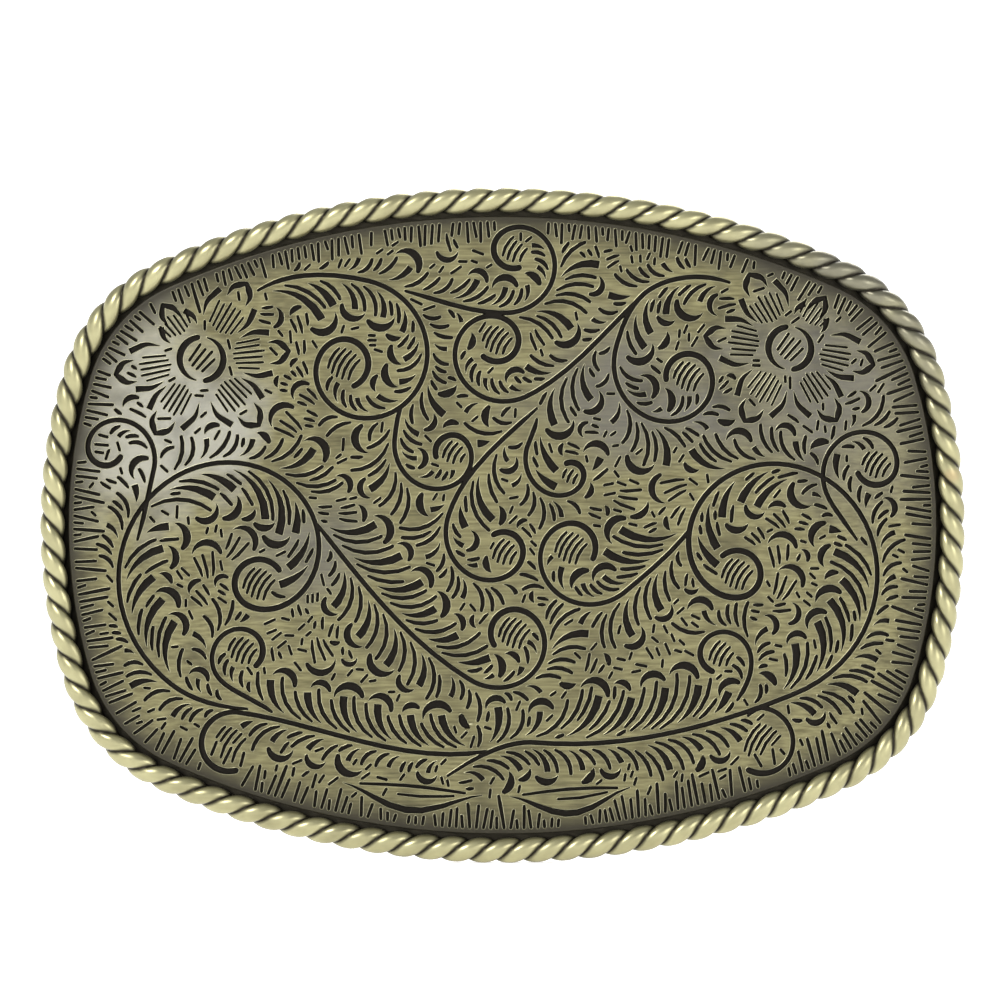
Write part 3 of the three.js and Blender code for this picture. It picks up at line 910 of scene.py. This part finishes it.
def make_rope():
    """A two-strand twist round the edge: the section turns half a turn for each lobe that shows."""
    ring = outline(ROPE_RADIUS, 0.2)
    ring = np.vstack([ring, ring[:1]])
    run = lengths(ring)
    count = ROPE_LOBES * RINGS_PER_LOBE
    where = np.linspace(0, run[-1], count, endpoint=False)
    centre = np.stack([np.interp(where, run, ring[:, k]) for k in (0, 1)], 1)
    along = np.roll(centre, -1, 0) - np.roll(centre, 1, 0)
    along /= np.hypot(*along.T)[:, None]
    turn = 2 * math.pi * np.arange(SECTION_SIDES) / SECTION_SIDES
    lobe = np.abs((turn / math.pi) % 1 - 0.5) * 2
    radius = ROPE_RADIUS * (1 - GROOVE * lobe**2.4)
    angle = turn[None, :] + math.pi * np.arange(count)[:, None] / RINGS_PER_LOBE
    out = radius * np.cos(angle)
    depth = FACE_LOW + ROPE_RADIUS + radius * np.sin(angle)
    x = centre[:, :1] + along[:, 1:] * out
    z = centre[:, 1:] - along[:, :1] * out
    points = np.stack([x.ravel(), depth.ravel(), z.ravel()], 1)
    faces = []
    for i in range(count):
        shift = 0 if i + 1 < count else SECTION_SIDES * ROPE_LOBES // 2
        for j in range(SECTION_SIDES):
            a, b = i * SECTION_SIDES + j, i * SECTION_SIDES + (j + 1) % SECTION_SIDES
            n = ((i + 1) % count) * SECTION_SIDES
            faces.append([a, b, n + (j + 1 + shift) % SECTION_SIDES, n + (j + shift) % SECTION_SIDES])
    piece = add_mesh("rope_border", on_plate(points), faces, 180)
    # Painted shade: the rope's lower sides, where it meets the plates, are darkened, more on the inner side;
    # the dark between the strands is partly patina and partly painted shade.
    foot = np.clip((0.3 - np.sin(angle)) / 0.4, 0, 1) * np.where(np.cos(angle) < 0, 1, 0.6)
    give_values(piece, "groove", np.maximum(lobe[None, :] ** 2.2, foot).ravel())
    return piece


# ---------------- the back and its fittings

# Fittings are made square on their own seat: u across it, v off the rear surface and z up.
HINGE_X, HOOK_X = 16.0, -24.0
AXIS_HEIGHT = 4.2
LEAF_LOW, LEAF_HIGH = 0.3, 1.3
EAR_LOW, EAR_HIGH, EAR_RADIUS = 24.1, 25.7, 2.9
RIVET_U, RIVET_Z = -6.4, 14.0
RIVET_HOLE, PIN_HOLE, HOOK_HOLE = 1.15, 1.2, 2.05
PIN_RADIUS, PIN_CAP_RADIUS = 1.1, 1.9
BAIL_HALF, BAIL_LOW, BAIL_HIGH = 23.8, 2.9, 5.5
BARREL_BORE, BARREL_RADIUS = 1.2, 2.0
# Rectangles with round corners: two opposite corners and the radius.
LEAF_PLAN = ((-10, -EAR_HIGH), (3.4, EAR_HIGH), 2.2)
BAIL_PLAN = ((1.35, -BAIL_HALF), (20, BAIL_HALF), 4.2)
BAIL_WINDOW = ((2.6, -20.2), (16.6, 20.2), 1.6)
# The hook's radii: of its ball, its wire and its foot, and where past the ball's centre its end is.
HOOK_BALL, HOOK_WIRE, HOOK_FOOT, HOOK_END = 2.7, 1.9, 1.75, 2.68


def rectangle(low, high, radius, shrink):
    """A rectangle's outline with round corners, anticlockwise, moved in by shrink."""
    low, high, radius = np.array(low) + shrink, np.array(high) - shrink, max(radius - shrink, 0.2)
    (x0, z0), (x1, z1) = low + radius, high - radius
    corners = ((x1, z1, 0), (x0, z1, 90), (x0, z0, 180), (x1, z0, 270))
    return np.array([(x, z) + radius * heading_way(a + t) for x, z, a in corners for t in range(0, 91, 10)])


def lathe(profile, sides=56):
    """A closed body turned about the v axis from (radius, v) points; a point at radius 0 is a pole."""
    points, rings, faces = [], [], []
    for radius, height in profile:
        size = 1 if radius == 0 else sides
        turns = np.linspace(0, 2 * math.pi, size, endpoint=False)
        rings.append(list(range(len(points), len(points) + size)))
        points += [(radius * math.cos(t), height, radius * math.sin(t)) for t in turns]
    pairs = list(zip(rings, rings[1:]))
    if profile[0][0] > 0:
        pairs.append((rings[-1], rings[0]))
    for one, other in pairs:
        if len(one) == 1 or len(other) == 1:
            pole, ring = (one, other) if len(one) == 1 else (other, one)
            faces += [[pole[0], ring[i], ring[(i + 1) % sides]] for i in range(sides)]
        else:
            faces += band(one, other)
    return np.array(points), faces


def rounded_profile(corners, radius, steps=4):
    """A (radius, v) profile with each inner corner rounded off."""
    found = [corners[0]]
    for before, here, after in zip(corners, corners[1:], corners[2:]):
        b, h, a = map(np.array, (before, here, after))
        cut = min(radius, 0.45 * np.hypot(*(b - h)), 0.45 * np.hypot(*(a - h)))
        start, end = h + unit(b - h) * cut, h + unit(a - h) * cut
        for t in np.linspace(0, 1, steps + 1):
            found.append(tuple((1 - t) ** 2 * start + 2 * t * (1 - t) * h + t**2 * end))
    return [*found, corners[-1]]


def on_hinge(points):
    """A lathed body's points, turned and moved so that its axis is the hinge's."""
    return on_seat(np.stack([points[:, 0], points[:, 2] + AXIS_HEIGHT, points[:, 1]], 1), HINGE_X)


def joined(name, first, *others):
    """One closed body from several that overlap."""
    for other in others:
        change = first.modifiers.new("join", "BOOLEAN")
        change.operation, change.solver, change.object = "UNION", "EXACT", other
        bpy.context.view_layer.update()
        made = bpy.data.meshes.new_from_object(first.evaluated_get(bpy.context.evaluated_depsgraph_get()))
        first.modifiers.clear()
        first.data = made
        bpy.data.objects.remove(other)
    first.name = name
    return first


def make_back():
    """The rear plate, with holes for the rivets and the hook. Its front is marked for painted shade, as it
    lies in shadow behind the rope and the face plate.
    """
    holes = [(HINGE_X + RIVET_U, side * RIVET_Z, RIVET_HOLE) for side in (1, -1)] + [(HOOK_X, 0, HOOK_HOLE)]

    def rings(shrink):
        return [outline(BACK_INSET + shrink, 0.8)] + [circle(x, z, r + shrink) for x, z, r in holes]

    grid = plate_grid(BACK_INSET + 0.4, 1.3)
    for x, z, r in holes:
        grid = grid[np.hypot(grid[:, 0] - x, grid[:, 1] - z) > r + 1]
    points, faces, _ = slab_mesh(rings, 0, BACK_THICK, BACK_EDGE, grid)
    piece = add_mesh("back_shell", on_plate(points), faces)
    give_values(piece, "front", points[:, 1] > BACK_THICK - 0.1)
    return piece


def make_bracket():
    """The riveted leaf with an ear at each end that carries the pin."""
    def leaf(shrink):
        holes = [circle(RIVET_U, z, RIVET_HOLE + shrink, 32) for z in (RIVET_Z, -RIVET_Z)]
        return [rectangle(*LEAF_PLAN, shrink), *holes]

    points, faces, _ = slab_mesh(leaf, LEAF_LOW, LEAF_HIGH, 0.22)
    pieces = [add_mesh("leaf", on_seat(points, HINGE_X), faces)]
    for low in (EAR_LOW, -EAR_HIGH):
        def tab(shrink):
            radius, foot = EAR_RADIUS - shrink, 0.45 + shrink
            dome = [(0, AXIS_HEIGHT) + radius * direction(t) for t in np.radians(np.linspace(0, 180, 25))]
            plan = np.array([*dome, (-radius, foot), (radius, foot)])
            return [plan, circle(0, AXIS_HEIGHT, PIN_HOLE + shrink, 32)]

        p, f, _ = slab_mesh(tab, low, low + EAR_HIGH - EAR_LOW, 0.2)
        pieces.append(add_mesh("ear", on_seat(p[:, [0, 2, 1]], HINGE_X), f))
    return joined("bracket_leaf", *pieces)


def make_bail():
    """The swinging loop, with its hinge side rolled into a barrel."""
    def frame(shrink):
        return [rectangle(*BAIL_PLAN, shrink), rectangle(*BAIL_WINDOW, -shrink)]

    points, faces, _ = slab_mesh(frame, BAIL_LOW, BAIL_HIGH, 0.6)
    loop = add_mesh("loop", on_seat(points, HINGE_X), faces)
    wall = ((BARREL_BORE, -1), (BARREL_RADIUS, -1), (BARREL_RADIUS, 1), (BARREL_BORE, 1))
    p, f = lathe(rounded_profile([(radius, side * BAIL_HALF) for radius, side in wall], 0.3), 48)
    return joined("bail_frame", loop, add_mesh("barrel", on_hinge(p), f))


def make_pin():
    """The hinge's round pin, with a wider peened cap at each end."""
    end, tip = EAR_HIGH + 0.15, EAR_HIGH + 0.9
    shank = [(PIN_RADIUS, 0), (PIN_RADIUS, end)]
    cap = [(PIN_CAP_RADIUS, end), (PIN_CAP_RADIUS, end + 0.4), (1.3, tip), (0, tip)]
    profile = rounded_profile(shank + cap, 0.22)
    profile = [(r, -v) for r, v in reversed(profile)] + profile[1:]
    p, f = lathe(profile)
    return add_mesh("turned_pin", on_hinge(p), f)


def make_rivet(name, z):
    """A rivet through the leaf and the rear plate, with a domed head."""
    dome = [(2.0 * math.cos(t), 1.37 + 0.78 * math.sin(t)) for t in np.linspace(0, math.pi / 2, 10)[:-1]]
    p, f = lathe([(0, -1.2), (0.9, -1.2), (1.0, -1.1), (1.0, 1.35), (1.9, 1.35), *dome, (0, 2.15)], 40)
    return add_mesh(name, on_seat(p + np.array([RIVET_U, 0, z]), HINGE_X), f)


def make_hook_seat():
    """The washer that the hook stands in."""
    corners = [(HOOK_HOLE, 0.1), (5.5, 0.1), (5.5, 1.2), (HOOK_HOLE, 1.2)]
    p, f = lathe(rounded_profile(corners, 0.35), 72)
    return add_mesh("hook_seat", on_seat(p, HOOK_X), f)


def make_hook_stud():
    """The post as a swept round bar that leans over and swells into its ball."""
    neck, bend_at, nose = np.array([0, 2.97]), np.array([0, 5.4]), np.array([-4.2, 8.8])
    t = np.linspace(0, 1, 30)[:, None]
    curve = (1 - t) ** 2 * neck + 2 * t * (1 - t) * bend_at + t**2 * nose
    beyond = np.linspace(0.1, HOOK_END, 16)[:, None] * unit(nose - bend_at)
    path = np.vstack([[[0, -1.2], [0, -1.1], [0, 1.5]], curve, nose + beyond])
    gap = lengths(path) - lengths(path)[-1 - len(beyond)]
    ball = np.sqrt(np.maximum(HOOK_BALL**2 - gap**2, 0))
    radius = np.where(gap < 0, np.maximum(HOOK_WIRE, ball), ball)
    radius[0] = HOOK_FOOT
    tangent = np.gradient(path, axis=0)
    tangent /= np.hypot(*tangent.T)[:, None]
    sides = 40
    turns = np.linspace(0, 2 * math.pi, sides, endpoint=False)
    points, faces = [], []
    for (u, v), (tu, tv), r in zip(path, tangent, radius):
        points += [(u - tv * r * math.cos(a), v + tu * r * math.cos(a), r * math.sin(a)) for a in turns]
    rings = [list(range(i * sides, (i + 1) * sides)) for i in range(len(path))]
    for one, other in zip(rings, rings[1:]):
        faces += band(one, other)
    faces += [rings[0][::-1], rings[-1]]
    return add_mesh("hook_stud", on_seat(np.array(points), HOOK_X), faces)


# ---------------- materials

def srgb(r, g, b):
    """A colour as the shader wants it, from its red, green and blue in steps of 0 to 255."""
    return (*[((c / 255 + 0.055) / 1.055) ** 2.4 if c > 10 else c / 255 / 12.92 for c in (r, g, b)], 1)


class Nodes:
    """A material's node tree, with short calls for the nodes that the finishes share."""

    def __init__(self, name, metallic, roughness):
        self.material = bpy.data.materials.new(name)
        self.material.use_nodes = True
        self.tree = self.material.node_tree
        self.shader = self.tree.nodes["Principled BSDF"]
        self.shader.inputs["Metallic"].default_value = metallic
        self.shader.inputs["Roughness"].default_value = roughness
        self.place = self.add("ShaderNodeTexCoord").outputs["Object"]

    def add(self, kind, **settings):
        node = self.tree.nodes.new(kind)
        for key, value in settings.items():
            setattr(node, key, value)
        return node

    def link(self, source, target):
        self.tree.links.new(source, target)

    def noise(self, scale, detail=4, stretch=(1, 1, 1)):
        """Noise fixed to the object, with features of about 1/scale metres."""
        mapping = self.add("ShaderNodeMapping")
        mapping.inputs["Scale"].default_value = stretch
        self.link(self.place, mapping.inputs["Vector"])
        node = self.add("ShaderNodeTexNoise")
        node.inputs["Scale"].default_value = scale
        node.inputs["Detail"].default_value = detail
        self.link(mapping.outputs["Vector"], node.inputs["Vector"])
        return node.outputs["Fac"]

    def near(self, x, z, radius):
        """0.7 at a place on the plate, in mm, fading unevenly to 0 at about the radius."""
        node = self.add("ShaderNodeVectorMath", operation="DISTANCE")
        node.inputs[1].default_value = (x * MM, 0, z * MM)
        self.link(self.place, node.inputs[0])
        uneven = self.add("ShaderNodeMath", operation="ADD")
        self.link(node.outputs["Value"], uneven.inputs[0])
        reach = 0.35 * radius * MM
        self.link(self.ramp(self.noise(120, 5), 0.3, 0.7, -reach, reach), uneven.inputs[1])
        return self.ramp(uneven.outputs[0], 0.3 * radius * MM, radius * MM, 0.7, 0)

    def value(self, name):
        """The number that each vertex holds under the name, 0 where it has none."""
        return self.add("ShaderNodeAttribute", attribute_name=name).outputs["Fac"]

    def ramp(self, source, low, high, out_low=0.0, out_high=1.0):
        """The source, scaled so that low to high becomes out_low to out_high, and held between them."""
        node = self.add("ShaderNodeMapRange")
        for key, number in (("From Min", low), ("From Max", high), ("To Min", out_low), ("To Max", out_high)):
            node.inputs[key].default_value = number
        self.link(source, node.inputs["Value"])
        return node.outputs["Result"]

    def mix(self, share, first, second):
        """One colour over another; each is a colour or a socket."""
        node = self.add("ShaderNodeMix", data_type="RGBA")
        self.link(share, node.inputs[0])
        for socket, colour in ((node.inputs[6], first), (node.inputs[7], second)):
            if isinstance(colour, tuple):
                socket.default_value = colour
            else:
                self.link(colour, socket)
        return node.outputs[2]

    def bump(self, height, strength, distance):
        node = self.add("ShaderNodeBump")
        node.inputs["Strength"].default_value = strength
        node.inputs["Distance"].default_value = distance
        self.link(height, node.inputs["Height"])
        self.link(node.outputs["Normal"], self.shader.inputs["Normal"])

    def finish(self, colour, roughness):
        self.link(colour, self.shader.inputs["Base Color"])
        self.link(roughness, self.shader.inputs["Roughness"])
        return self.material


BRASS, BRIGHT_BRASS = srgb(88, 83, 57), srgb(130, 125, 90)
PALE_BRASS, CREST, COPPER = srgb(145, 140, 106), srgb(166, 161, 123), srgb(168, 116, 80)
# The silver tone is a painted highlight; the patina tone is both patina and painted shade.
SILVER_HIGHLIGHT, STEEL, PATINA_AND_SHADE = srgb(150, 148, 137), srgb(90, 88, 85), srgb(48, 45, 37)
# The pale lip tone is a painted highlight; the groove dark is partly patina and partly painted shade.
RIM_HIGHLIGHT, GROOVE_PATINA_AND_SHADE, SOOT = srgb(204, 200, 164), srgb(38, 34, 26), srgb(18, 14, 7)
# Painted highlight and worn places: where, how far they reach and what shows there. The silver patches at the
# left are a painted reflection of light from the left; the steel-grey ones are wear.
FACE_HIGHLIGHT_AND_WEAR = (
    (-40, 13, 17, SILVER_HIGHLIGHT), (-31, 9, 9, SILVER_HIGHLIGHT), (33, 15, 17, STEEL), (12, 14, 11, STEEL), (-20, -2, 8, STEEL),
)
WORN_ROPE = (36, 24, 17)


def face_brass():
    """Brushed olive brass with worn steel-grey patches and a painted silver highlight at the left, dark in
    the cuts, with a painted highlight along the cuts' rims and painted shade next to the rope.
    """
    n = Nodes("face_brass", 0.8, 0.4)
    brushed = n.noise(4200, 3, (0.06, 1, 1))
    colour = n.mix(n.ramp(brushed, 0.3, 0.7), BRASS, BRIGHT_BRASS)
    # Painted highlight: the silver patches at the left stand in for a reflection of the light; the steel-grey
    # ones are wear.
    for x, z, radius, tone in FACE_HIGHLIGHT_AND_WEAR:
        colour = n.mix(n.near(x, z, radius), colour, tone)
    colour = n.mix(n.ramp(n.noise(260, 5), 0.48, 0.75, 0, 0.55), colour, PATINA_AND_SHADE)
    # Painted shade: darker next to the rope, fading out about 3 mm into the face.
    colour = n.mix(n.ramp(n.value("inset"), 0.35, 3.4, 0.95, 0), colour, PATINA_AND_SHADE)
    # Painted highlight: a pale line along each cut's edge, where the raised lip would catch the light.
    colour = n.mix(n.ramp(n.value("rim"), 0.35, 0.9, 0, 0.8), colour, RIM_HIGHLIGHT)
    colour = n.mix(n.ramp(n.value("cut"), 0.08, 0.45), colour, SOOT)
    n.bump(brushed, 0.12, 0.0001)
    return n.finish(colour, n.ramp(brushed, 0.2, 0.8, 0.34, 0.5))


def rope_brass():
    """Polished crests over dark grooves, grey at one worn corner and coppery here and there. The grooves'
    dark is partly patina and partly painted shade, and painted shade also darkens the rope's foot against the
    plates.
    """
    n = Nodes("rope_brass", 0.85, 0.34)
    colour = n.mix(n.ramp(n.noise(300, 4), 0.3, 0.65), PALE_BRASS, CREST)
    colour = n.mix(n.near(*WORN_ROPE), colour, STEEL)
    colour = n.mix(n.ramp(n.noise(70, 2, (1, 1, 1.6)), 0.7, 0.78, 0, 0.5), colour, COPPER)
    # Partly patina, partly painted shade: in the grooves between the strands and at the rope's foot.
    colour = n.mix(n.ramp(n.value("groove"), 0.4, 0.85), colour, GROOVE_PATINA_AND_SHADE)
    n.bump(n.noise(1500, 3), 0.12, 0.0001)
    return n.finish(colour, n.ramp(n.noise(500), 0.3, 0.7, 0.28, 0.42))


def cast_brass(name, tone, grain, rough):
    """A lightly brushed and aged finish for the parts behind the face, with painted shade where a piece has a
    front.
    """
    n = Nodes(name, 0.95, rough)
    dark = tuple(0.45 * c for c in tone[:3]) + (1,)
    brushed = n.noise(grain, 4, (0.07, 1, 1))
    colour = n.mix(n.ramp(brushed, 0.3, 0.7, 0, 0.45), tone, dark)
    colour = n.mix(n.ramp(n.noise(260, 8), 0.48, 0.75, 0, 0.45), colour, dark)
    colour = n.mix(n.ramp(n.noise(45, 5), 0.5, 0.75, 0, 0.5), colour, STEEL)
    # Painted shade: the back plate's front lies in shadow behind the rope and the face plate.
    colour = n.mix(n.value("front"), colour, PATINA_AND_SHADE)
    n.bump(brushed, 0.15, 0.0001)
    return n.finish(colour, n.ramp(brushed, 0.3, 0.7, rough - 0.07, rough + 0.07))


# ---------------- the studio

# The camera, lights and stage are in metres.
VIEW_DISTANCE, VIEW_X, VIEW_Z = 0.9, -0.000256, 0.002565
VIEW_WIDTH = 0.1021
SENSOR = 36.0
FLOOR_RADIUS, SWEEP_RADIUS, WALL_HEIGHT = 1.8, 0.6, 0.9


def make_camera():
    camera = bpy.data.objects.new("camera", bpy.data.cameras.new("camera"))
    camera.data.sensor_width = SENSOR
    camera.data.lens = SENSOR * (VIEW_DISTANCE - FACE_HIGH * MM) / VIEW_WIDTH
    camera.location = (VIEW_X, -VIEW_DISTANCE, VIEW_Z)
    camera.rotation_euler = (math.pi / 2, 0, 0)
    camera.data.clip_end = 20
    bpy.context.scene.collection.objects.link(camera)
    bpy.context.scene.camera = camera


def make_stage(floor_z):
    """A pale round floor that sweeps up into a low wall far behind on every side."""
    sweep = [SWEEP_RADIUS * direction(t) for t in np.linspace(0, math.pi / 2, 12)]
    profile = [(FLOOR_RADIUS + out, SWEEP_RADIUS - drop) for drop, out in sweep]
    profile.append((FLOOR_RADIUS + SWEEP_RADIUS, WALL_HEIGHT))
    sides = 64
    points = [(0, 0, floor_z)]
    for radius, height in profile:
        around = np.linspace(0, 2 * math.pi, sides, endpoint=False)
        points += [(radius * math.cos(t), radius * math.sin(t), floor_z + height) for t in around]
    faces = [[0, 1 + i, 1 + (i + 1) % sides] for i in range(sides)]
    for ring in range(len(profile) - 1):
        first = 1 + ring * sides
        faces += band(range(first, first + sides), range(first + sides, first + 2 * sides))
    floor = add_mesh("floor", np.array(points) / MM, faces, 180)
    n = Nodes("pale_floor", 0, 0.9)
    colour = n.mix(n.ramp(n.noise(3), 0, 1), srgb(250, 250, 250), srgb(246, 246, 246))
    n.shader.inputs["Emission Color"].default_value = (1, 1, 1, 1)
    n.shader.inputs["Emission Strength"].default_value = 0.6
    floor.data.materials.append(n.finish(colour, n.ramp(n.noise(5), 0, 1, 0.88, 0.92)))


def add_light(name, place, size, power):
    light = bpy.data.objects.new(name, bpy.data.lights.new(name, "AREA"))
    light.data.shape = "DISK"
    light.data.size = size
    light.data.energy = power
    light.location = place
    light.rotation_euler = (-Vector(place)).to_track_quat("-Z", "Y").to_euler()
    bpy.context.scene.collection.objects.link(light)


def make_lights():
    world = bpy.data.worlds.new("world")
    bpy.context.scene.world = world
    world.use_nodes = True
    world.node_tree.nodes["Background"].inputs[0].default_value = (0.95, 0.97, 1, 1)
    world.node_tree.nodes["Background"].inputs[1].default_value = 0.62
    add_light("key", (-0.55, -0.7, 0.7), 0.4, 8)
    add_light("fill", (0.75, -0.7, 0.2), 0.5, 2.4)
    add_light("back", (0.3, 0.9, 0.8), 0.8, 8)
    bpy.context.scene.view_settings.view_transform = "Standard"


# ---------------- assembly

def place(piece, body, node, slot, material):
    """Gives a piece its material and body, and hides the CAD node that it replaces; the slot is not used. Its
    flat faces stay flat beside rounded edges.
    """
    piece.modifiers.new("even shading", "WEIGHTED_NORMAL").keep_sharp = True
    piece.data.materials.clear()
    piece.data.materials.append(material)
    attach(piece, body)
    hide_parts(node)


make_camera()
make_lights()
make_stage(cad_low.z)
back = cast_brass("back_brass", srgb(122, 114, 82), 4200, 0.36)
fitting = cast_brass("fitting_brass", srgb(150, 141, 100), 4600, 0.3)
steel = cast_brass("pin_steel", srgb(150, 149, 144), 5000, 0.24)
place(make_face(), "buckle", "face_plate", "face_brass", face_brass())
place(make_rope(), "buckle", "rope_edge", "rope_brass", rope_brass())
place(make_back(), "buckle", "back_plate", "back_brass", back)
place(make_bracket(), "buckle", "hinge_bracket", "fitting_brass", fitting)
place(make_rivet("rivet_upper", RIVET_Z), "buckle", "hinge_rivet_upper", "fitting_brass", fitting)
place(make_rivet("rivet_lower", -RIVET_Z), "buckle", "hinge_rivet_lower", "fitting_brass", fitting)
place(make_pin(), "buckle", "hinge_pin", "pin_steel", steel)
place(make_bail(), "bail", "bail_loop", "fitting_brass", fitting)
place(make_hook_seat(), "buckle", "hook_base", "fitting_brass", fitting)
place(make_hook_stud(), "buckle", "hook_post", "fitting_brass", fitting)
